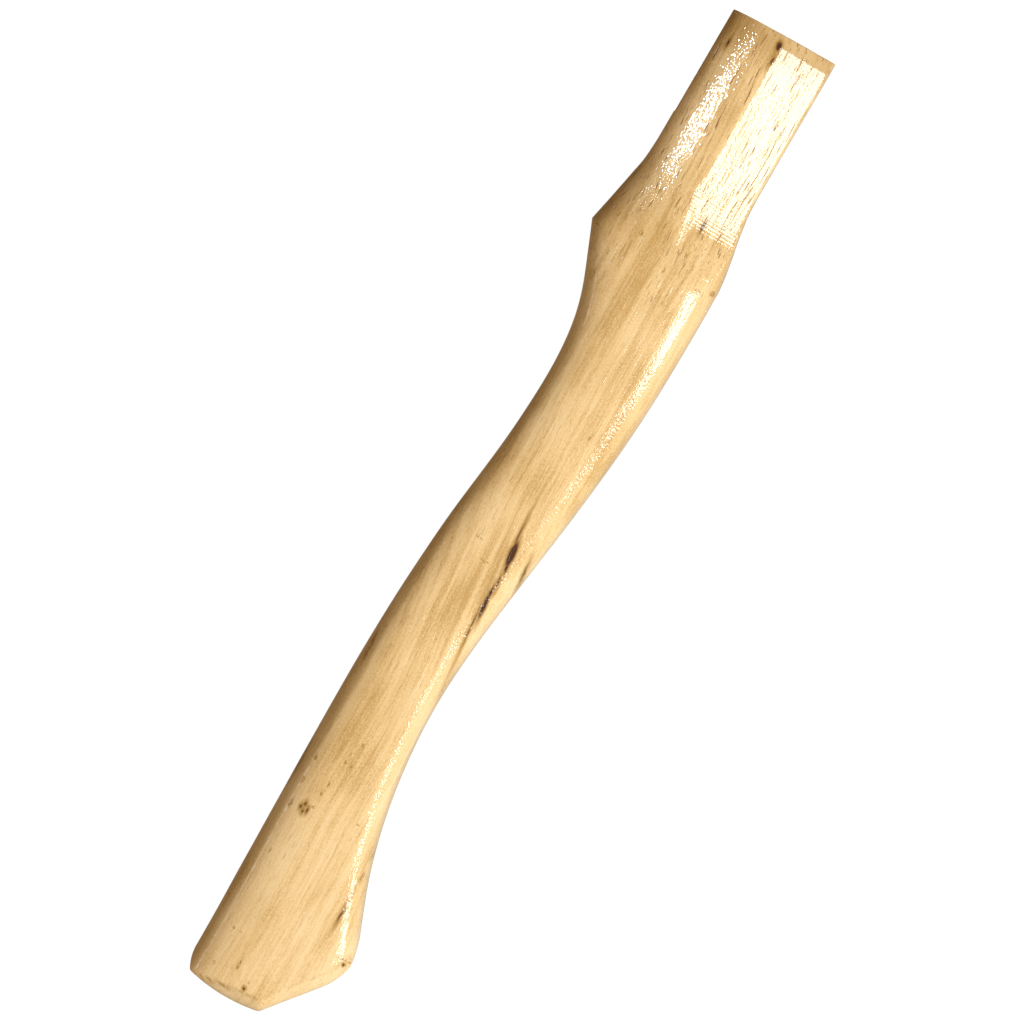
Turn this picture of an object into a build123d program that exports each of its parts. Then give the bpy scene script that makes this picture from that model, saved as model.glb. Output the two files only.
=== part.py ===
from build123d import *
import math
import os

# Wooden handle for a carving hatchet: one piece of hickory.
# +X runs along the tongue towards the head, +Y to the back (the poll side) and
# Z through the thickness. The origin is where the head seats on the tongue.

# Driving dimensions, in millimetres and degrees.
LENGTH = 355.6  # overall, 14 inches
TONGUE_LENGTH = 54.0  # from the head's seat to the longer corner of the tongue's end
TONGUE_WIDTH = 37.5
TONGUE_THICKNESS = 18.0
END_SLANT = 1.5  # the tongue's end is sawn this far off square
EASE_LENGTH = 4.5  # the lead-in where the head goes on is this long
EASE_DEPTH = 1.3  # and this deep
FACET_TILT = 14.0  # each flat cheek falls towards the front by this angle
FACET_EDGE = -0.5  # the cheeks begin this far from the centre line
FACET_STOP = -4.0  # the cheeks are flat down to here
CUTTER_RADIUS = 60.0  # and run out along the arc of the cutter
KERF_WIDTH = 3.2  # saw cut that takes the wedge
KERF_DEPTH = 40.0
SAW_RADIUS = 125.0
SHOULDER = -27.5  # the ridge below the head
TONGUE_START = 5.0  # parallel sides from here to the end
BUTT = TONGUE_LENGTH - LENGTH
BUTT_BEVEL = 4.2  # width of the bevel round the butt
BEVEL_ANGLE = 45.0
CLEAR = 40.0  # how far the cutting shapes reach past the wood

# The butt's outline seen along Z, as pairs of X and Y: corners and the middles of the arcs.
TOE_START = (-262.0, -27.2)
TOE_RISE = (-267.3, -28.9)
TOE = (-272.8, -30.0)
TOE_FALL = (-278.5, -28.35)
TOE_END = (-283.5, -25.3)
BUTT_TIP = (BUTT + 1.2, -11.8)
BUTT_CROWN = (BUTT, 2.5)
BUTT_HEEL = (BUTT + 1.6, 14.0)
HEEL_TURN = (-296.5, 15.6)
HEEL_END = (-292.0, 16.3)

# Stations up the grip: x, back edge, front edge and thickness there.
GRIP = [
    (SHOULDER, 24.1, -23.1, 22.0),
    (-31.0, 22.5, -23.2, 22.1),
    (-36.0, 20.4, -23.25, 22.2),
    (-44.0, 17.2, -23.3, 22.4),
    (-54.0, 13.8, -23.3, 22.5),
    (-68.0, 11.6, -23.0, 22.5),
    (-84.0, 11.3, -22.2, 22.3),
    (-104.0, 12.5, -20.4, 22.0),
    (-128.0, 15.2, -17.5, 21.7),
    (-155.0, 17.2, -14.0, 21.5),
    (-171.0, 17.8, -12.4, 21.5),
    (-187.0, 18.0, -11.7, 21.6),
    (-203.0, 17.9, -12.4, 21.8),
    (-219.0, 17.7, -14.4, 22.2),
    (-235.0, 17.4, -17.7, 22.7),
    (-250.0, 17.1, -22.4, 23.1),
    (-266.0, 16.7, -28.8, 23.5),
    (-284.0, 16.3, -35.0, 23.8),
    (BUTT - 3.0, 15.9, -40.0, 24.0),
]
GRIP_BACK_POWER = 2.5  # a section is an oval, squarer with a higher power
GRIP_FRONT_POWER = 3.2
TONGUE_BACK_POWER = 2.1
TONGUE_FRONT_POWER = 5.0
FRONT_TURN = 1 / 3  # share of the flare in which the front turns from the grip's power to the tongue's
SECTION_STEPS = 14

# Stations up the flare between the ridge and the tongue, in the same order.
FLARE = [
    (SHOULDER, 24.1, -23.1, 22.0),
    (-24.0, 23.4, -22.7, 21.7),
    (-20.0, 22.55, -22.1, 21.2),
    (-16.0, 21.75, -21.4, 20.6),
    (-12.0, 20.95, -20.6, 19.9),
    (-8.0, 20.15, -19.9, 19.2),
    (-4.0, 19.4, -19.3, 18.6),
    (0.0, 18.95, -18.9, 18.2),
    (TONGUE_START, TONGUE_WIDTH / 2, -TONGUE_WIDTH / 2, TONGUE_THICKNESS),
]


def section(x, back, front, thickness, back_power, front_power):
    """Closed outline of the handle across X, as two curves that meet at its edges."""
    middle = (back + front) / 2
    reach = (back - front) / 2
    points = []
    for step in range(SECTION_STEPS + 1):
        angle = math.pi * step / SECTION_STEPS
        power = back_power if 2 * step <= SECTION_STEPS else front_power
        across = math.copysign(abs(math.cos(angle)) ** (2 / power), math.cos(angle))
        up = abs(math.sin(angle)) ** (2 / power) if 0 < step < SECTION_STEPS else 0
        points.append(Vector(x, middle + reach * across, thickness / 2 * up))
    knots = [step / SECTION_STEPS for step in range(SECTION_STEPS + 1)]
    upper = Edge.make_spline(points, tangents=[(0, 0, 1), (0, 0, -1)], parameters=knots)
    return Wire([upper, upper.mirror(Plane.XY)])


def grip():
    wires = [section(*station, GRIP_BACK_POWER, GRIP_FRONT_POWER) for station in GRIP]
    return Solid.make_loft(wires)


def flare():
    """The ridge has the grip's section, which turns into the tongue's higher up."""
    wires = []
    for station in FLARE:
        share = (station[0] - SHOULDER) / (TONGUE_START - SHOULDER)
        blunt = min(1.0, share / FRONT_TURN)
        back_power = GRIP_BACK_POWER + share * (TONGUE_BACK_POWER - GRIP_BACK_POWER)
        front_power = GRIP_FRONT_POWER + blunt * (TONGUE_FRONT_POWER - GRIP_FRONT_POWER)
        wires.append(section(*station, back_power, front_power))
    return Solid.make_loft(wires)


def tongue():
    outline = section(*FLARE[-1], TONGUE_BACK_POWER, TONGUE_FRONT_POWER)
    return Solid.extrude(Face(outline), Vector(TONGUE_LENGTH, 0, 0))


def cheek_waste():
    """What is planed off one side's front half: a lead-in, the flat and the cutter's arc."""
    rise = CLEAR
    run = math.sqrt(CUTTER_RADIUS**2 - (CUTTER_RADIUS - rise) ** 2)
    ease_start = TONGUE_LENGTH - EASE_LENGTH
    end = TONGUE_LENGTH + CLEAR
    drop = (end - ease_start) * EASE_DEPTH / EASE_LENGTH
    with BuildSketch(Plane.XZ) as profile:
        with BuildLine():
            Polyline((end, -drop), (ease_start, 0), (FACET_STOP, 0))
            RadiusArc((FACET_STOP, 0), (FACET_STOP - run, rise), CUTTER_RADIUS)
            Polyline((FACET_STOP - run, rise), (end, rise), (end, -drop))
        make_face()
    waste = extrude(profile.sketch, CLEAR)
    return Pos(0, FACET_EDGE, TONGUE_THICKNESS / 2) * Rot(FACET_TILT, 0, 0) * waste


def ease_waste():
    """The lead-in on the rounded back half of one side."""
    angle = math.degrees(math.atan2(EASE_DEPTH, EASE_LENGTH))
    block = Box(CLEAR, 2 * CLEAR, CLEAR, align=(Align.MIN, Align.CENTER, Align.MIN))
    start = TONGUE_LENGTH - EASE_LENGTH
    return Pos(start, 0, TONGUE_THICKNESS / 2) * Rot(0, angle, 0) * block


def end_waste():
    """Everything past the tongue's slanted end."""
    block = Box(CLEAR, 4 * CLEAR, 2 * CLEAR, align=(Align.MIN, Align.CENTER, Align.CENTER))
    return Pos(TONGUE_LENGTH, -TONGUE_WIDTH / 2, 0) * Rot(0, 0, END_SLANT) * block


def kerf():
    """The saw's disc, plunged into the tongue's end."""
    return Pos(TONGUE_LENGTH - KERF_DEPTH + SAW_RADIUS, 0, 0) * Cylinder(SAW_RADIUS, KERF_WIDTH)


def butt_outline():
    """Outline that keeps the handle and rounds its butt, seen along Z."""
    right = TONGUE_LENGTH + CLEAR
    front_corner = (TOE_START[0] + CLEAR / 2, -CLEAR)
    back_corner = (HEEL_END[0] + CLEAR / 4, CLEAR)
    with BuildSketch() as outline:
        with BuildLine():
            Polyline(TOE_START, front_corner, (right, -CLEAR), (right, CLEAR), back_corner, HEEL_END)
            ThreePointArc(HEEL_END, HEEL_TURN, BUTT_HEEL)
            ThreePointArc(BUTT_HEEL, BUTT_CROWN, BUTT_TIP)
            Line(BUTT_TIP, TOE_END)
            ThreePointArc(TOE_END, TOE_FALL, TOE)
            ThreePointArc(TOE, TOE_RISE, TOE_START)
        make_face()
    return outline.sketch


def butt_form():
    """The outline at full thickness, closing in towards both sides to bevel the butt's edges."""
    outline = butt_outline()
    half = GRIP[-1][3] / 2
    straight = half - BUTT_BEVEL
    core = extrude(outline, straight, both=True)
    cap = extrude(Pos(0, 0, straight) * outline, half, taper=BEVEL_ANGLE)
    return core + cap + mirror(cap, about=Plane.XY)


def handle():
    wood = (grip() + flare() + tongue()) & butt_form()
    for waste in (cheek_waste(), ease_waste()):
        wood = wood - waste - mirror(waste, about=Plane.XY)
    return wood - end_waste() - kerf()


os.makedirs("parts", exist_ok=True)
wood = handle()
box = wood.bounding_box()
print("size", box.size, "low", box.min, "high", box.max)
print("volume", wood.volume, "solids", len(wood.solids()))
export_step(wood, "parts/handle.step")
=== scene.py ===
import math

import bmesh
import bpy
import numpy as np
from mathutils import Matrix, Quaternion, Vector, noise
from mathutils.bvhtree import BVHTree


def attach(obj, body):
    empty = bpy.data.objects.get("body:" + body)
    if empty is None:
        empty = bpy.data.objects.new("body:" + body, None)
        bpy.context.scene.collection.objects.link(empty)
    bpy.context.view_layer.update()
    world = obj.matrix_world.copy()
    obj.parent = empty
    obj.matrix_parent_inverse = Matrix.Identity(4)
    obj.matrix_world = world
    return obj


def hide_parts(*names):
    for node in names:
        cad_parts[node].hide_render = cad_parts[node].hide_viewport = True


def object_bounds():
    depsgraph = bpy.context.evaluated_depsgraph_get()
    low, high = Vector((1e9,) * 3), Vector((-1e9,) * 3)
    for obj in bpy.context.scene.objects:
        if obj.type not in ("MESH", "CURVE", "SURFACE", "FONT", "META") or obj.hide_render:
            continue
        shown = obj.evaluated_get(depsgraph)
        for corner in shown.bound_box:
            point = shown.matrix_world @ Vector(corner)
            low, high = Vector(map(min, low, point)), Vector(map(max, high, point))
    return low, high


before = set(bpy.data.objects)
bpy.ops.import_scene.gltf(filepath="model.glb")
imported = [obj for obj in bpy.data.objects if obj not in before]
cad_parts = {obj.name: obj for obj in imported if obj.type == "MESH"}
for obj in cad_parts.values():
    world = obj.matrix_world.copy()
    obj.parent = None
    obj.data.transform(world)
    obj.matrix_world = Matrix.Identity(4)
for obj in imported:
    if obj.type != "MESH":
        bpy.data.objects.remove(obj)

# The lacquered hickory handle of a carving hatchet, lying on its side: +X runs up the
# tongue, +Y to the back and Z through the thickness. Its long edges and its thickness are
# measured on the CAD handle. Sizes are in millimetres and degrees until a mesh is made.
MM = 0.001
CAD_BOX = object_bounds()

# The same sizes as the CAD model's.
TONGUE_LENGTH = 54.0  # from the head's seat to the longer corner of the tongue's end
TONGUE_WIDTH = 37.5
TONGUE_START = 5.0  # parallel sides from here to the end
END_SLANT = 1.5  # the tongue's end is sawn this far off square
EASE_LENGTH = 4.5  # the lead-in where the head goes on is this long
EASE_DEPTH = 1.3  # and this deep
FACET_TILT = 14.0  # each flat cheek falls towards the front by this angle
FACET_EDGE = -0.5  # the cheeks begin this far from the centre line
FACET_STOP = -4.0  # the cheeks are flat down to here
CUTTER_RADIUS = 60.0  # and run out along the arc of the cutter
KERF_WIDTH = 3.2  # saw cut that takes the wedge
KERF_DEPTH = 40.0
SAW_RADIUS = 125.0
SHOULDER = -27.5  # the ridge below the head
GRIP_POWERS = (2.5, 3.2)  # of the oval sections, at the back and at the front
TONGUE_POWERS = (2.1, 5.0)
BUTT_CHAMFER = 4.2  # width of the bevel round the butt
BUTT_HALF = 12.0  # half thickness there
TOE_START = (-262.0, -27.2)
TOE_RISE = (-267.3, -28.9)
TOE = (-272.8, -30.0)
TOE_FALL = (-278.5, -28.35)
TOE_END = (-283.5, -25.3)
BUTT_TIP = (-300.4, -11.8)
BUTT_CROWN = (-301.6, 2.5)
BUTT_HEEL = (-300.0, 14.0)
HEEL_TURN = (-296.5, 15.6)
HEEL_END = (-292.0, 16.3)

# The arrises: soft edges this far inside the back and the front, and the angle of each crease.
BACK_ARRIS = 3.3
FRONT_ARRIS = 4.3
TONGUE_ARRIS = 1.0
BACK_CREASE = 5.0
FRONT_CREASE = 14.0
BUTT_CREASE = 13.0
TONGUE_CREASE = 15.0
ARRIS_FADE = 12.0  # the back's crease fades out in this length of the flare

# The finer shape of the wood.
WAIST = -150.0  # the front of the grip turns squarer from here down
WAIST_LENGTH = 60.0  # over this length
BUTT_FRONT_POWER = 4.2  # to this power
RUN_OUT_LIFT = 0.3  # a run-out's back corner is fuller by this much for each mm down it
RUN_OUT_BLEND = 8.0  # which fades towards the front over this width
FACET_SOFTNESS = 1.0  # roundness of the crease between a run-out and the flare
FACET_BLEND = 5.0  # which fades towards the back over this width
SOFTENING = 10.0  # and is whole this far down the run-out
HOLLOW_DEPTH = 0.12  # sanded hollows
HOLLOW_SIZE = (16.0, 7.0, 7.0)
END_ROUNDING = 0.3  # of the sawn end's edge
BEVEL_LINE = 0.5  # width of the dirt along the bevel
SHARP_ANGLE = 40.0  # steeper edges are shaded as edges

# Columns of the mesh round the upper half, from the back edge to the front edge.
BACK_BAND = 10
BACK_SIDE = 24
FRONT_SIDE = 26
FRONT_BAND = 11
COLUMNS = BACK_BAND + BACK_SIDE + FRONT_SIDE + FRONT_BAND
KERF_BACK = 2  # this column runs along the kerf's edge
KERF_FRONT = COLUMNS - 2
BEND = -235.0  # the rings are square to X above here and follow the butt below


# ---- Shape ----

def mix(a, b, share):
    return a + (b - a) * share


def ease(share):
    """Smooths the two ends of a rise from 0 to 1."""
    return share * share * (3 - 2 * share)


def soft_min(a, b, radius):
    """The lower of two heights, with their crease rounded off."""
    return (a + b - np.sqrt((a - b) ** 2 + radius**2)) / 2


def stack(x, y, z):
    return np.stack(np.broadcast_arrays(x, y, z), -1)


def cubic(at, value):
    """A natural cubic spline through the points, straight beyond its ends."""
    gap = np.diff(at)
    slope = np.diff(value) / gap
    count = len(at)
    system = np.eye(count)
    right = np.zeros(count)
    for i in range(1, count - 1):
        system[i, i - 1:i + 2] = gap[i - 1], 2 * (gap[i - 1] + gap[i]), gap[i]
        right[i] = 6 * (slope[i] - slope[i - 1])
    bend = np.linalg.solve(system, right)

    def curve(x):
        inside = np.clip(x, at[0], at[-1])
        i = np.clip(np.searchsorted(at, inside) - 1, 0, count - 2)
        a = (at[i + 1] - inside) / gap[i]
        b = 1 - a
        sag = ((a**3 - a) * bend[i] + (b**3 - b) * bend[i + 1]) * gap[i] ** 2 / 6
        first = slope[0] - gap[0] * bend[1] / 6
        last = slope[-1] + gap[-1] * bend[-2] / 6
        beyond = np.minimum(x - at[0], 0) * first + np.maximum(x - at[-1], 0) * last
        return a * value[i] + b * value[i + 1] + sag + beyond

    return curve


def ray_hits(tree, places, direction):
    """Where rays from outside meet the CAD handle, along the given direction's axis."""
    axis = int(np.argmax(np.abs(direction)))
    hits = [tree.ray_cast(Vector(place) * MM, Vector(direction))[0] for place in places]
    return np.array([hit[axis] for hit in hits]) / MM


def measured_edges(back_span, front_span, half_span, count):
    """Back edge, front edge and half thickness of the CAD handle, as curves along X."""
    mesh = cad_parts["handle"].data
    tree = BVHTree.FromPolygons([v.co for v in mesh.vertices], [p.vertices for p in mesh.polygons])
    far = 100.0
    backs, fronts, halves = [np.linspace(*span, count) for span in (back_span, front_span, half_span)]
    back = cubic(backs, ray_hits(tree, [(x, far, 0) for x in backs], (0, -1, 0)))
    front = cubic(fronts, ray_hits(tree, [(x, -far, 0) for x in fronts], (0, 1, 0)))
    crowns = [(x, (back(x) + front(x)) / 2, far) for x in halves]
    return back, front, cubic(halves, ray_hits(tree, crowns, (0, 0, -1)))


def grip_edges():
    """The grip's curves, each measured from where the butt's corners and bevel leave it whole."""
    top = SHOULDER - 0.01
    stations = 22
    return measured_edges((-290.0, top), (TOE_START[0] + 3, top), (-294.0, top), stations)


def flare_edges():
    span = (SHOULDER + 0.01, TONGUE_START)
    stations = 9
    return measured_edges(span, span, span, stations)


GRIP_EDGES = grip_edges()
FLARE_EDGES = flare_edges()


def edges(x):
    """Back edge, front edge and half thickness at X."""
    on_flare = np.clip(x, SHOULDER, TONGUE_START)
    curves = zip(GRIP_EDGES, FLARE_EDGES)
    return [np.where(x < SHOULDER, grip(x), flare(on_flare)) for grip, flare in curves]


def up_the_flare(x):
    """0 on the grip, rising to 1 where the tongue starts."""
    return np.clip((x - SHOULDER) / (TONGUE_START - SHOULDER), 0, 1)


def bluntness(x):
    """How far the front has gone from the grip's oval to the tongue's square, a third up the flare."""
    return np.clip(3 * up_the_flare(x), 0, 1)


def down_the_grip(x):
    """0 above the waist, rising to 1 where the grip widens towards the butt."""
    return ease(np.clip((WAIST - x) / WAIST_LENGTH, 0, 1))


def side_height(x, y):
    """Height of the side above the middle plane."""
    back, front, half = edges(x)
    middle = (back + front) / 2
    reach = (back - front) / 2
    back_power = mix(GRIP_POWERS[0], TONGUE_POWERS[0], bluntness(x))
    grip_power = mix(GRIP_POWERS[1], BUTT_FRONT_POWER, down_the_grip(x))
    front_power = mix(grip_power, TONGUE_POWERS[1], bluntness(x))
    power = np.where(y > middle, back_power, front_power)
    out = np.clip(np.abs(y - middle) / reach, 0, 1)
    oval = half * (1 - out**power) ** (1 / power)
    lead_in = np.maximum(x - TONGUE_LENGTH + EASE_LENGTH, 0) * EASE_DEPTH / EASE_LENGTH
    low = np.clip(FACET_STOP - x, 0, CUTTER_RADIUS)
    run_out = CUTTER_RADIUS - np.sqrt(CUTTER_RADIUS**2 - low**2)
    fall = (FACET_EDGE - y) * math.tan(math.radians(FACET_TILT))
    tongue_half = FLARE_EDGES[2](TONGUE_START)
    towards_back = np.clip((y - FACET_EDGE + RUN_OUT_BLEND / 2) / RUN_OUT_BLEND, 0, 1)
    corner = RUN_OUT_LIFT * low * towards_back
    facet = tongue_half - fall - lead_in + run_out + corner
    eased = np.minimum(oval, half - lead_in)
    down_the_run_out = np.clip(low / SOFTENING, 0, 1)
    on_the_facet = np.clip((FACET_EDGE - y) / FACET_BLEND + 1, 0, 1)
    return soft_min(eased, facet, FACET_SOFTNESS * down_the_run_out * on_the_facet)


def band(x, edge, arris, inward, crease, share):
    """
    Points round an edge, from the middle plane up to the arris. Share is -1 on the middle
    plane, 0 at the height of the kerf's edge and 1 on the arris.
    """
    height = side_height(x, arris)
    step = 0.05
    slope = (side_height(x, arris + inward * step) - height) / step
    tilt = np.arctan(np.maximum(slope, 0)) + np.radians(crease)
    width = np.abs(edge - arris)
    least = 0.2 * height
    shoulder = np.maximum(height - width * np.tan(tilt), least)
    square, linear = height - 2 * shoulder, 2 * shoulder
    half_kerf = KERF_WIDTH / 2
    kerf = 2 * half_kerf / (linear + np.sqrt(linear**2 + 4 * square * half_kerf))
    t = np.where(share < 0, (share + 1) * kerf, mix(kerf, 1.0, np.maximum(share, 0)))
    y = edge + (arris - edge) * t**2
    z = 2 * t * (1 - t) * shoulder + t**2 * height
    return y, z


def shares(count, kerf_count):
    """Column places along a band: -1 to 0 up to the kerf's edge, then 0 to 1."""
    low = np.arange(kerf_count + 1) / kerf_count - 1
    high = np.arange(1, count - kerf_count + 1) / (count - kerf_count)
    return np.concatenate([low, high])


def skin(x):
    """Y and Z of the upper surface, for an array of X whose last axis is the columns."""
    back, front, _ = edges(x)
    share = bluntness(x)
    fade = np.clip((x - SHOULDER) / ARRIS_FADE, 0, 1)
    back_arris = back - BACK_ARRIS
    front_arris = front + mix(FRONT_ARRIS, TONGUE_ARRIS, share)
    middle = mix((back + front) / 2, FACET_EDGE, up_the_flare(x))
    back_crease = mix(BACK_CREASE, 0.0, fade)
    front_crease = mix(mix(FRONT_CREASE, BUTT_CREASE, down_the_grip(x)), TONGUE_CREASE, share)
    back_end = BACK_BAND
    middle_at = back_end + BACK_SIDE
    front_end = middle_at + FRONT_SIDE
    s = np.s_[..., :back_end + 1]
    y_one, z_one = band(x[s], back[s], back_arris[s], -1, back_crease[s], shares(BACK_BAND, KERF_BACK))
    s = np.s_[..., back_end + 1:middle_at]
    y_two = mix(back_arris[s], middle[s], np.arange(1, BACK_SIDE) / BACK_SIDE)
    s = np.s_[..., middle_at:front_end]
    y_three = mix(middle[s], front_arris[s], np.arange(FRONT_SIDE) / FRONT_SIDE)
    s = np.s_[..., front_end:]
    front_shares = shares(FRONT_BAND, COLUMNS - KERF_FRONT)[::-1]
    y_four, z_four = band(x[s], front[s], front_arris[s], 1, front_crease[s], front_shares)
    y_side = np.concatenate([y_two, y_three], -1)
    z_side = side_height(x[..., back_end + 1:front_end], y_side)
    return np.concatenate([y_one, y_side, y_four], -1), np.concatenate([z_one, z_side, z_four], -1)


def arc(start, via, end, count):
    """Points along the circle through three points, from the first up to the last, left out."""
    (ax, ay), (bx, by), (cx, cy) = start, via, end
    d = 2 * (ax * (by - cy) + bx * (cy - ay) + cx * (ay - by))
    a2, b2, c2 = ax**2 + ay**2, bx**2 + by**2, cx**2 + cy**2
    centre = np.array([
        (a2 * (by - cy) + b2 * (cy - ay) + c2 * (ay - by)) / d,
        (a2 * (cx - bx) + b2 * (ax - cx) + c2 * (bx - ax)) / d,
    ])
    first = math.atan2(*(np.array(start) - centre)[::-1])
    turn = math.remainder(math.atan2(*(np.array(end) - centre)[::-1]) - first, 2 * math.pi)
    angles = first + turn * np.arange(count) / count
    radius = np.linalg.norm(np.array(start) - centre)
    return centre + radius * np.stack([np.cos(angles), np.sin(angles)], -1)


def butt_outline():
    """Lines that bound the butt, each as its outward normal and its distance from the origin."""
    points = np.concatenate([
        arc(HEEL_END, HEEL_TURN, BUTT_HEEL, 8),
        arc(BUTT_HEEL, BUTT_CROWN, BUTT_TIP, 16),
        [BUTT_TIP],
        arc(TOE_END, TOE_FALL, TOE, 16),
        arc(TOE, TOE_RISE, TOE_START, 12),
        [TOE_START],
    ])
    along = np.diff(points, axis=0)
    normals = np.stack([-along[:, 1], along[:, 0]], -1) / np.linalg.norm(along, axis=1)[:, None]
    inside = np.array([-280.0, 0.0])
    offsets = np.sum(normals * points[:-1], 1)
    flip = np.sign(offsets - normals @ inside)
    return normals * flip[:, None], offsets * flip


BUTT_LINES = butt_outline()


def butt_depth(x, y):
    """How far inside the butt's outline a point is."""
    normals, offsets = BUTT_LINES
    return np.min(offsets - x[..., None] * normals[:, 0] - y[..., None] * normals[:, 1], -1)


def butt_wall():
    """X at which each column meets the butt's end, found by halving."""
    past_butt = -330.0
    halvings = 40
    outside = np.full(COLUMNS + 1, past_butt)
    inside = np.full(COLUMNS + 1, BEND)
    for _ in range(halvings):
        x = (outside + inside) / 2
        within = butt_depth(x, skin(x)[0]) > 0
        inside = np.where(within, x, inside)
        outside = np.where(within, outside, x)
    return inside


def butt_sheets():
    """The grip below the bend, its bevel, and the butt's end down to the middle plane."""
    rings = 95
    rows = 12
    crowding = 1.4  # packs the rings closer towards the end
    edge = 0.6  # rounds the bevel's outer edge
    inner = 0.5  # rounds its inner edge
    lead = 20  # once this far below the bend
    share = 1 - (1 - np.linspace(1, 0, rings)[:, None]) ** crowding
    x = mix(butt_wall(), BEND, share)
    y, z = skin(x)
    depth = np.maximum(butt_depth(x, y), 0)
    limit = BUTT_HALF - BUTT_CHAMFER + depth - edge * np.exp(-depth / edge)
    softness = inner * np.clip((BEND - x) / lead, 0, 1)
    z = np.maximum(soft_min(z, limit, softness), np.minimum(z, KERF_WIDTH / 4))
    z[:, [0, -1]] = 0
    down = np.linspace(1, 0, rows)[:, None]
    end = stack(x[-1], y[-1], z[-1] * down)
    return [stack(x, y, z), end]


def grip_sheet():
    rings = 301
    x = np.repeat(np.linspace(BEND, SHOULDER, rings)[:, None], COLUMNS + 1, 1)
    return stack(x, *skin(x))


def kerf_floor(y):
    """X of the bottom of the saw cut, which has the saw's curve."""
    return TONGUE_LENGTH - KERF_DEPTH + SAW_RADIUS - np.sqrt(SAW_RADIUS**2 - y**2)


def tongue_rings():
    """
    X of the rings up to the lead-in, closest where the cheeks run out, and which of them meets
    the kerf's edge.
    """
    run_out = -16
    cheek = -3.5
    edge_y = skin(np.full(COLUMNS + 1, TONGUE_START + 3))[0][KERF_BACK]
    kerf_start = float(kerf_floor(edge_y))
    low = np.concatenate([
        np.linspace(SHOULDER, run_out, 30)[:-1],
        np.linspace(run_out, cheek, 51)[:-1],
        np.linspace(cheek, kerf_start, 27),
    ])
    high = np.linspace(kerf_start, TONGUE_LENGTH - EASE_LENGTH, 50)[1:]
    return np.concatenate([low, high]), len(low) - 1


def tongue_surface():
    """The flare and tongue up to the rounded edge of the sawn end, and the kerf's first ring."""
    places, kerf_ring = tongue_rings()
    x = np.repeat(places[:, None], COLUMNS + 1, 1)
    y, z = skin(x)
    slant = math.tan(math.radians(END_SLANT))
    end_x = TONGUE_LENGTH - (y[-1] + TONGUE_WIDTH / 2) * slant
    part = 0.3 * END_ROUNDING
    lead_in = [mix(places[-1], end_x - 1.5 * END_ROUNDING, share) for share in np.linspace(0, 1, 10)[1:-1]]
    steps = [(ring_x, 0) for ring_x in lead_in]
    steps += [(end_x - END_ROUNDING, 0), (end_x - part, part), (end_x, END_ROUNDING)]
    half_kerf = KERF_WIDTH / 2
    rings = [stack(x, y, z)]
    for ring_x, inset in steps:
        ring_y, ring_z = skin(ring_x)
        ring_y = ring_y * (1 - inset / (TONGUE_WIDTH / 2))
        ring_z = np.where(ring_z > half_kerf, np.maximum(ring_z - inset, half_kerf), ring_z)
        rings.append(stack(ring_x, ring_y, ring_z)[None])
    return np.concatenate(rings), kerf_ring


def tongue_sheets():
    """The flare and tongue, its sawn end, and the walls and floor of the kerf."""
    surface, kerf_ring = tongue_surface()
    ring = surface[kerf_ring]
    split = surface[kerf_ring:, KERF_BACK:KERF_FRONT + 1]
    x, y, z = np.moveaxis(split, -1, 0)
    half_kerf = KERF_WIDTH / 2
    wall_x = x.copy()
    wall_x[0, 1:-1] = kerf_floor(y[0])[1:-1]
    floor = stack(wall_x[0], y[0], half_kerf * np.linspace(1, 0, 3)[:, None])
    floor[:, 0] = ring[KERF_BACK::-1]
    floor[:, -1] = ring[KERF_FRONT:]
    end = stack(x[-1], y[-1], mix(half_kerf, z[-1], np.linspace(1, 0, 9)[:, None]))
    return [surface[:kerf_ring + 1], split, stack(wall_x, y, half_kerf), floor, end]


def mesh_from(name, sheets):
    """Welds sheets of quads, and their mirror images below, into one closed mesh."""
    points, quads, count = [], [], 0
    for sheet in sheets:
        rows, columns = sheet.shape[:2]
        index = np.arange(rows * columns).reshape(rows, columns)
        corners = index[:-1, :-1], index[:-1, 1:], index[1:, 1:], index[1:, :-1]
        for sign in (1, -1):
            points.append(sheet.reshape(-1, 3) * (1, 1, sign))
            quads.append(np.stack(corners[::sign], -1).reshape(-1, 4) + count)
            count += rows * columns
    mesh = bpy.data.meshes.new(name)
    mesh.from_pydata(np.concatenate(points) * MM, [], np.concatenate(quads))
    weld = 1e-6
    speck = 1e-7
    work = bmesh.new()
    work.from_mesh(mesh)
    bmesh.ops.remove_doubles(work, verts=work.verts, dist=weld)
    bmesh.ops.dissolve_degenerate(work, edges=work.edges, dist=speck)
    bmesh.ops.recalc_face_normals(work, faces=work.faces)
    if work.calc_volume(signed=True) < 0:
        bmesh.ops.reverse_faces(work, faces=work.faces)
    work.to_mesh(mesh)
    work.free()
    return mesh


def mark_bevel(mesh):
    """Records how near each vertex is to the edge between the butt's bevel and its sides."""
    co = np.zeros(len(mesh.vertices) * 3)
    mesh.vertices.foreach_get("co", co)
    x, y, _ = (co / MM).reshape(-1, 3).T
    below = BUTT_HALF - BUTT_CHAMFER + butt_depth(x, y) - side_height(x, y)
    nearness = np.where(x < TOE[0] + 3, np.exp(-((below / BEVEL_LINE) ** 2)), 0)
    mesh.attributes.new("bevel", "FLOAT", "POINT").data.foreach_set("value", nearness)


def hand_finish(mesh):
    """Sands shallow hollows into the surface."""
    count = len(mesh.vertices)
    co, normal = np.zeros(count * 3), np.zeros(count * 3)
    mesh.vertices.foreach_get("co", co)
    mesh.vertex_normals.foreach_get("vector", normal)
    places = (co / MM).reshape(-1, 3) / HOLLOW_SIZE
    hollow = np.array([(1 + noise.noise(place)) / 2 for place in places])
    co -= normal * np.repeat(hollow, 3) * HOLLOW_DEPTH * MM
    mesh.vertices.foreach_set("co", co)
    mesh.update()


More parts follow.
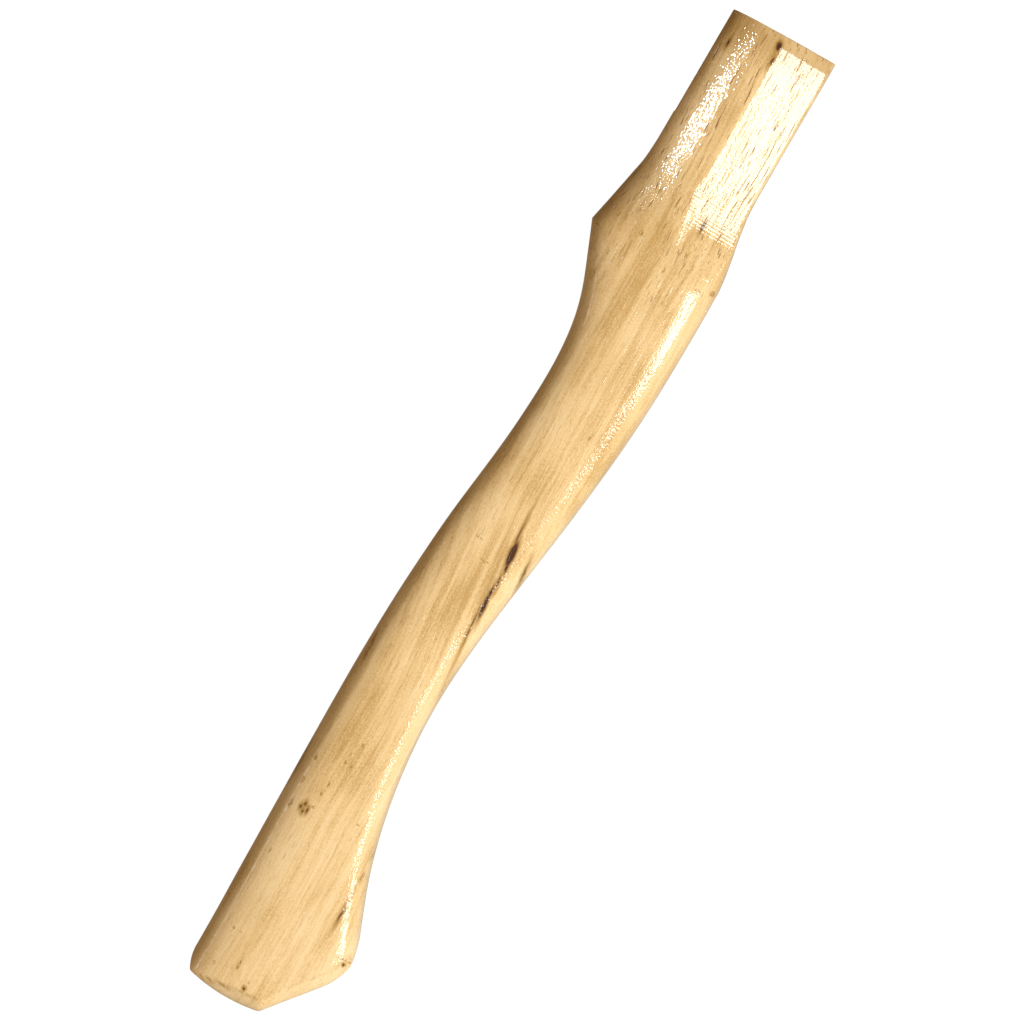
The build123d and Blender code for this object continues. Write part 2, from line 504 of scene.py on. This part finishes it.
def shape_handle():
    mesh = mesh_from("handle_wood", [*butt_sheets(), grip_sheet(), *tongue_sheets()])
    mark_bevel(mesh)
    hand_finish(mesh)
    mesh.shade_smooth()
    mesh.set_sharp_from_angle(angle=math.radians(SHARP_ANGLE))
    handle = bpy.data.objects.new("handle_wood", mesh)
    bpy.context.scene.collection.objects.link(handle)
    return handle


# ---- Materials ----

PALE_WOOD = (0.70, 0.52, 0.285, 1)
WOOD = (0.615, 0.425, 0.20, 1)
DARK_WOOD = (0.44, 0.27, 0.095, 1)
PORE_BROWN = (0.22, 0.11, 0.03, 1)
# A brown for stains, also used for the shade painted on the back of the flare.
STAIN_AND_SHADE_BROWN = (0.27, 0.14, 0.02, 1)
GUM_BLACK = (0.05, 0.012, 0.0005, 1)
FLOOR_GREY = (0.02, 0.02, 0.02, 1)
WHITE = (1, 1, 1, 1)

# The grain climbs towards the back, most of it in the middle of the grip.
GRAIN_SLOPE = 0.02
GRAIN_CLIMB = (-200.0, -110.0)
GRAIN_LIFT = 5.0

# Depth of the texture, in the wood and in the lacquer over it.
WOOD_TEXTURE = 0.03
COAT_TEXTURE = 0.055
COARSER = (-60.0, -5.0)  # the wood is coarser towards the tongue, between these places

# Marks in the upper side, from the tongue to the butt: X, Y, half length and half width of each.
BLACK_MARKS = [
    # Gum on the tongue and the flare.
    (49.5, 0.0, 1.4, 0.75), (44.5, -0.5, 1.2, 0.35), (42.5, 14.6, 0.9, 0.3), (-12.5, -8.1, 1.6, 0.4),
    # The gum streak down the middle of the grip.
    (-133.5, -8.1, 4.2, 1.05), (-128.0, -7.0, 3.0, 0.15), (-138.2, -8.8, 1.5, 0.4),
    (-143.5, -8.8, 1.6, 0.25), (-147.5, -8.4, 2.2, 0.4), (-152.0, -8.7, 4.5, 0.6),
    (-159.5, -8.4, 4.0, 0.15), (-137.0, -14.5, 2.0, 0.2),
    # The back edge, the knot and the butt.
    (-224.0, 17.7, 5.0, 0.6), (-236.8, 9.6, 0.5, 0.25), (-235.4, 8.7, 0.5, 0.25),
    (-236.9, 7.2, 0.6, 0.25), (-237.9, 8.3, 0.4, 0.2), (-260.5, -18.9, 1.6, 0.2),
    (-273.7, -27.7, 0.4, 0.4), (-296.0, -4.0, 0.4, 0.35),
]
BROWN_MARKS = [
    # The tongue and the flare.
    (46.0, -0.2, 6.0, 1.0), (34.5, -1.3, 3.5, 0.25), (-23.3, -8.4, 0.8, 0.4), (-24.0, 8.0, 0.9, 0.7),
    (-28.6, 21.7, 0.3, 0.8), (-29.5, -21.5, 1.1, 0.9), (-31.0, -4.2, 0.9, 0.35), (-31.0, -17.0, 0.4, 1.3),
    # The grip.
    (-40.5, -5.7, 1.2, 0.45), (-40.0, -9.0, 0.5, 0.35), (-89.0, -10.9, 1.6, 0.35),
    (-126.5, -6.8, 4.5, 0.3), (-134.0, 3.5, 0.2, 1.5), (-137.0, -14.5, 4.0, 0.3),
    (-139.8, -1.8, 0.2, 2.2), (-142.0, -8.9, 7.0, 0.9), (-158.0, -8.3, 7.0, 0.5),
    (-182.0, -10.7, 3.0, 0.25), (-182.0, 16.2, 6.0, 0.6),
    # The knot and the flecks about it.
    (-236.3, 8.3, 1.7, 1.5), (-237.5, 13.0, 1.6, 0.6), (-235.0, 6.2, 0.5, 0.5), (-229.0, 13.2, 1.0, 0.4),
    (-221.0, 13.3, 0.8, 0.4), (-254.0, 11.0, 1.0, 0.3), (-230.0, 6.0, 0.6, 0.4), (-226.5, 5.3, 1.0, 0.4),
    (-217.5, 4.3, 0.6, 0.4), (-214.5, 4.2, 0.5, 0.3), (-218.0, 2.0, 0.8, 0.4), (-210.0, 2.2, 0.6, 0.4),
    # The butt.
    (-232.7, -9.2, 0.3, 0.8), (-239.0, -18.2, 1.0, 0.3), (-246.5, -18.7, 1.8, 0.45),
    (-261.5, -19.0, 3.0, 0.3), (-272.2, -27.3, 0.45, 2.6), (-281.0, 6.0, 0.4, 0.4),
    (-281.0, 8.5, 0.5, 0.4), (-290.0, 1.2, 2.0, 0.5), (-293.8, -4.3, 0.5, 0.5), (-294.0, 8.5, 0.7, 0.5),
]


def grain_rise(x):
    """How far the grain has climbed towards the back at X."""
    start, end = GRAIN_CLIMB
    share = min(max((x - start) / (end - start), 0), 1)
    return GRAIN_SLOPE * x + GRAIN_LIFT * ease(share)


class Nodes:
    """Builds a node tree. Each method returns an output socket."""

    def __init__(self, tree):
        self.tree = tree

    def add(self, kind, *values, out=0, **settings):
        node = self.tree.nodes.new(kind)
        for name, value in settings.items():
            setattr(node, name, value)
        for socket, value in zip(node.inputs, values):
            self.fill(socket, value)
        return node.outputs[out]

    def fill(self, socket, value):
        if isinstance(value, bpy.types.NodeSocket):
            self.tree.links.new(value, socket)
        elif value is not None:
            socket.default_value = value

    def math(self, operation, *values):
        return self.add("ShaderNodeMath", *values, operation=operation)

    def vector(self, operation, *values, out=0):
        return self.add("ShaderNodeVectorMath", *values, operation=operation, out=out)

    def ramp(self, value, start, end, low=0.0, high=1.0):
        return self.add("ShaderNodeMapRange", value, start, end, low, high, interpolation_type="SMOOTHSTEP")

    def split(self, vector):
        node = self.add("ShaderNodeSeparateXYZ", vector).node
        return node.outputs[:3]

    def noise(self, place, scale, detail=2.0):
        """Noise centred on 0, with a scale for each axis."""
        place = self.vector("MULTIPLY", place, scale)
        value = self.add("ShaderNodeTexNoise", place, None, 1.0, detail)
        return self.math("SUBTRACT", value, 0.5)

    def product(self, first, *others):
        for value in others:
            first = self.math("MULTIPLY", first, value)
        return first

    def total(self, *terms):
        """The sum of values, each with its weight."""
        result = 0.0
        for value, weight in terms:
            result = self.math("MULTIPLY_ADD", value, weight, result)
        return result

    def blend(self, share, first, second):
        unused = [None] * 5
        return self.add("ShaderNodeMix", share, *unused, first, second, out=2, data_type="RGBA")

    def nearest(self, place, marks):
        """Distance to the edge of the nearest mark, negative inside it."""
        result = 100.0
        for x, y, half_length, half_width in marks:
            scale = (1 / half_length, 1 / half_width, 0)
            shift = (-x / half_length, -(y - grain_rise(x)) / half_width, 0)
            share = self.vector("LENGTH", self.vector("MULTIPLY_ADD", place, scale, shift), out=1)
            distance = self.math("MULTIPLY_ADD", share, half_width, -half_width)
            result = self.math("MINIMUM", result, distance)
        return result


class Wood(Nodes):
    """The places and the grain that the wood's colour and its lacquer share."""

    def __init__(self, tree):
        super().__init__(tree)
        self.place = self.vector("SCALE", self.add("ShaderNodeTexCoord", out=3), None, None, 1 / MM)
        self.x, self.y, self.z = self.split(self.place)
        self.facing_x, self.facing_y, _ = self.split(self.add("ShaderNodeTexCoord", out=1))
        rise = self.total((self.x, GRAIN_SLOPE), (self.ramp(self.x, *GRAIN_CLIMB), GRAIN_LIFT))
        self.level = self.math("SUBTRACT", self.y, rise)
        self.wander = self.noise(self.place, (0.014, 0.035, 0.035))
        across = self.total((self.level, 1), (self.wander, 5.0), (self.z, 0.3))
        self.grain = self.add("ShaderNodeCombineXYZ", self.x, across, self.z)
        self.lines = self.noise(self.grain, (0.05, 0.9, 0.9), 1)
        deep = self.ramp(self.noise(self.grain, (0.1, 1.2, 1.2), 1), 0.14, 0.21)
        self.grooves = self.product(deep, self.ramp(self.x, *COARSER, 0.2, 1.0))


def bare_wood(t):
    """Broad bands with streaks, fibres, growth lines and open pores, paler towards the butt."""
    bands = t.noise(t.grain, (0.006, 0.33, 0.12), 2)
    streaks = t.noise(t.grain, (0.02, 0.9, 0.6), 3)
    fibres = t.noise(t.grain, (0.09, 4.6, 4.0), 2)
    blotches = t.noise(t.place, (0.03, 0.07, 0.07), 2)
    speckle = t.noise(t.place, (1.6, 2.6, 2.6), 3)
    growth = t.math("PINGPONG", t.total((bands, 9.0), (t.level, 0.22), (t.z, 0.1)), 1.0)
    growth_lines = t.product(t.ramp(growth, 0.16, 0.0), t.ramp(streaks, -0.02, 0.12))
    paler = t.ramp(t.x, -120, -300, 0.0, 0.07)
    tone = t.total(
        (bands, 0.7), (streaks, 0.6), (fibres, 0.55), (speckle, 0.8), (blotches, 1.0),
        (growth_lines, -0.12), (paler, 1.0),
    )
    colour = t.blend(t.ramp(tone, -0.34, 0.06), DARK_WOOD, WOOD)
    colour = t.blend(t.ramp(tone, -0.04, 0.36), colour, PALE_WOOD)
    pores = t.ramp(t.total((t.noise(t.grain, (0.2, 2.6, 2.6), 1), 1.0), (blotches, 0.25)), 0.17, 0.26)
    strength = t.ramp(t.x, *COARSER, 0.4, 0.9)
    return t.blend(t.product(t.math("MAXIMUM", pores, t.grooves), strength), colour, PORE_BROWN)


def darken_end_and_shade_flare(t, colour):
    """Darkens the end of the tongue, and paints shade on the back of the flare where its side turns towards
    the back.
    """
    tongue_end = t.ramp(t.x, 38, 50, 0.0, 0.48)
    flare = t.product(t.ramp(t.x, -36, -26), t.ramp(t.x, 6, -10))
    # Painted shade: the back of the flare is darkened where its side turns towards the back, away from the
    # key lamp.
    painted_flare_shade = t.product(flare, t.ramp(t.facing_y, 0.1, 0.7, 0.12, 0.5))
    return t.blend(t.math("MAXIMUM", tongue_end, painted_flare_shade), colour, STAIN_AND_SHADE_BROWN)


def marked(t, colour):
    """Adds gum, knots and flecks, their edges roughened by a fine warp, and dirt along the bevel."""
    crumble = t.noise(t.place, (0.5, 1.6, 0.5), 2)
    along = t.total((t.x, 1), (crumble, 1.2))
    across = t.total((t.level, 1), (crumble, 0.7))
    mark_place = t.add("ShaderNodeCombineXYZ", along, across, 0.0)
    black = t.nearest(mark_place, BLACK_MARKS)
    brown = t.nearest(mark_place, BROWN_MARKS)
    gum = t.ramp(black, 0.3, -0.3)
    halo = t.ramp(black, 1.1, 0.0, 0.0, 0.8)
    fleck = t.ramp(brown, 0.25, -0.25, 0.0, 0.8)
    edge = t.add("ShaderNodeAttribute", attribute_name="bevel", out=2)
    bevel = t.product(edge, t.ramp(t.y, -12, 0, 0.35, 0.9))
    patchy = t.ramp(t.noise(t.place, (1.0, 1.8, 1.8), 2), -0.2, 0.05)
    dirt = t.product(t.math("MAXIMUM", fleck, bevel), patchy)
    upper_side = t.ramp(t.z, 0, 4)
    stain = t.product(t.math("MAXIMUM", halo, dirt), upper_side)
    return t.blend(t.product(gum, upper_side), t.blend(stain, colour, STAIN_AND_SHADE_BROWN), GUM_BLACK)


def end_grain(t, colour):
    """Darkens the ends, where the grain drinks the lacquer."""
    end = t.ramp(t.math("ABSOLUTE", t.facing_x), 0.88, 0.98, 0.0, 0.5)
    return t.blend(end, colour, DARK_WOOD)


def coat_relief(t):
    """Height of the lacquer: its fine peel, the grain under it, and the cutter's chatter on the cheek."""
    peel = t.noise(t.place, (1.2, 1.6, 1.6), 0)
    swell = t.noise(t.grain, (0.03, 0.35, 0.35), 1)
    back = t.ramp(t.facing_y, 0.0, 0.2)
    front = t.ramp(t.facing_y, -0.25, -0.5)
    flare = t.product(t.ramp(t.x, -42, -34), t.ramp(t.x, 0, -8))
    grip_front = t.product(t.ramp(t.facing_y, -0.12, -0.28), t.ramp(t.x, -24, -34))
    lower_grip = t.product(t.ramp(t.x, -150, -185), t.ramp(t.x, -258, -240))
    patches = t.ramp(t.noise(t.grain, (0.05, 0.25, 0.25), 1), 0.02, 0.16)
    everywhere = 1.0
    coarseness = t.total(
        (everywhere, 0.6),
        (t.product(back, t.ramp(t.x, -60, 0)), 1.5),
        (t.product(back, flare), 1.0),
        (front, 0.4),
        (grip_front, 0.5),
        (t.product(flare, front), 1.5),
        (t.product(grip_front, lower_grip), 1.0),
        (patches, 0.3),
    )
    lines = t.product(t.lines, t.ramp(t.facing_y, 0.2, 0.0, 0.2, 1.0))
    run_out = t.product(t.ramp(t.x, -16, -10), t.ramp(t.x, -2, -5))
    waves = t.math("SINE", t.total((t.x, 5.4), (t.wander, 9.0)))
    chatter = t.product(waves, t.math("MAXIMUM", front, run_out))
    ridge = t.add("ShaderNodeMapRange", t.x, -37.0, -27.0, 0.0, 1.0)
    return t.total(
        (t.product(peel, coarseness), 1.0),
        (lines, 0.9),
        (swell, 0.3),
        (t.grooves, -3.5),
        (chatter, 0.25),
        (t.product(ridge, ridge), -22.0),
    )


def hickory():
    """Pale straight-grained wood with gum marks, under a clear coat that shows its texture."""
    material = bpy.data.materials.new("hickory")
    material.use_nodes = True
    shader = material.node_tree.nodes["Principled BSDF"]
    t = Wood(material.node_tree)
    colour = end_grain(t, marked(t, darken_end_and_shade_flare(t, bare_wood(t))))
    wood_bump = t.add("ShaderNodeBump", 1.0, WOOD_TEXTURE * MM, None, t.lines)
    coat_bump = t.add("ShaderNodeBump", 1.0, COAT_TEXTURE * MM, None, coat_relief(t))
    t.fill(shader.inputs["Base Color"], colour)
    t.fill(shader.inputs["Normal"], wood_bump)
    t.fill(shader.inputs["Coat Normal"], coat_bump)
    shader.inputs["Roughness"].default_value = 0.5
    shader.inputs["Specular IOR Level"].default_value = 0.06
    shader.inputs["Coat Weight"].default_value = 1.0
    shader.inputs["Coat Roughness"].default_value = 0.07
    return material


def white_floor():
    material = bpy.data.materials.new("floor")
    material.use_nodes = True
    shader = material.node_tree.nodes["Principled BSDF"]
    shader.inputs["Base Color"].default_value = FLOOR_GREY
    shader.inputs["Roughness"].default_value = 0.9
    shader.inputs["Emission Color"].default_value = WHITE
    shader.inputs["Emission Strength"].default_value = 1.0
    return material


# ---- Stage ----

# The lamps' places, sizes and distances are in metres.
MID_GRIP = (-0.12, 0, 0)
TONGUE_BACK = (0.023, 0.01, 0)
BUTT_MIDDLE = (-0.28, 0, 0)
BUTT_BACK = (-0.3, 0.01, 0)
LAMP_DISTANCE = 1.6
FRONT_GLOW = (0.60, 0.58, 0.52, 1)
BACK_GLOW = (0.30, 0.20, 0.10, 1)


def lay_floor(level):
    mesh = bpy.data.meshes.new("floor")
    reach = 3.0
    corners = [(-reach, -reach), (reach, -reach), (reach, reach), (-reach, reach)]
    mesh.from_pydata([(x, y, level) for x, y in corners], [], [(0, 1, 2, 3)])
    mesh.materials.append(white_floor())
    floor = bpy.data.objects.new("floor", mesh)
    bpy.context.scene.collection.objects.link(floor)
    floor.visible_diffuse = False
    floor.visible_glossy = False


def aim_camera():
    """Straight down on the side of the handle, turned so that the tongue points up and right."""
    width = 327.8 * MM
    lens = 300.0
    turn = -59.74
    aim = Vector((-121.8, -1.3, 0)) * MM
    camera = bpy.data.cameras.new("camera")
    camera.lens = lens
    camera.clip_end = 20
    seat = bpy.data.objects.new("camera", camera)
    seat.location = aim + Vector((0, 0, width * lens / camera.sensor_width))
    seat.rotation_euler = (0, 0, math.radians(turn))
    bpy.context.scene.collection.objects.link(seat)
    bpy.context.scene.camera = seat


def softbox(
    name, centre, bearing, off_axis, distance, size, power,
    roll=0, spread=180, diffuse=True, glossy=True,
):
    """
    An area light aimed at a point. Bearing is from +X towards +Y, off_axis from +Z, and roll
    about the light's own axis.
    """
    a, b = math.radians(bearing), math.radians(off_axis)
    away = Vector((math.sin(b) * math.cos(a), math.sin(b) * math.sin(a), math.cos(b)))
    lamp = bpy.data.lights.new(name, "AREA")
    lamp.shape = "RECTANGLE"
    lamp.size, lamp.size_y = size
    lamp.energy = power
    lamp.spread = math.radians(spread)
    seat = bpy.data.objects.new(name, lamp)
    seat.location = Vector(centre) + away * distance
    seat.visible_diffuse = diffuse
    seat.visible_glossy = glossy
    seat.rotation_mode = "QUATERNION"
    seat.rotation_quaternion = away.to_track_quat("Z", "Y") @ Quaternion((0, 0, 1), math.radians(roll))
    bpy.context.scene.collection.objects.link(seat)


def light_lamps():
    """A key from the front, a fill at the butt, and lamps that only the lacquer mirrors."""
    softbox(
        "key", MID_GRIP, bearing=-71, off_axis=41.5, distance=LAMP_DISTANCE, size=(0.62, 0.86),
        power=33.5, glossy=False,
    )
    softbox(
        "key glare", MID_GRIP, bearing=-71, off_axis=38.5, distance=LAMP_DISTANCE, size=(0.62, 0.69),
        power=18.5, diffuse=False,
    )
    softbox(
        "tongue glint", TONGUE_BACK, bearing=90, off_axis=30.5, distance=0.15, size=(0.040, 0.010),
        power=0.0075, roll=153, spread=26, diffuse=False,
    )
    softbox(
        "butt fill", BUTT_MIDDLE, bearing=180, off_axis=60, distance=1.2, size=(0.5, 0.5),
        power=5, glossy=False,
    )
    softbox(
        "arris glint", BUTT_BACK, bearing=95, off_axis=72, distance=LAMP_DISTANCE, size=(0.3, 0.15),
        power=0.4, diffuse=False,
    )


def light_surroundings():
    """A bright room on the handle's front side, which turns dim and warm on its back side."""
    world = bpy.data.worlds.new("studio")
    world.use_nodes = True
    t = Nodes(world.node_tree)
    _, towards_back, _ = t.split(t.add("ShaderNodeTexCoord"))
    glow = t.blend(t.ramp(towards_back, -0.5, 0.5), FRONT_GLOW, BACK_GLOW)
    t.fill(world.node_tree.nodes["Background"].inputs["Color"], glow)
    bpy.context.scene.world = world


handle = shape_handle()
handle.data.materials.append(hickory())
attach(handle, "root")
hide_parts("handle")
aim_camera()
light_lamps()
light_surroundings()
lay_floor(CAD_BOX[0].z)
bpy.context.scene.view_settings.view_transform = "Standard"
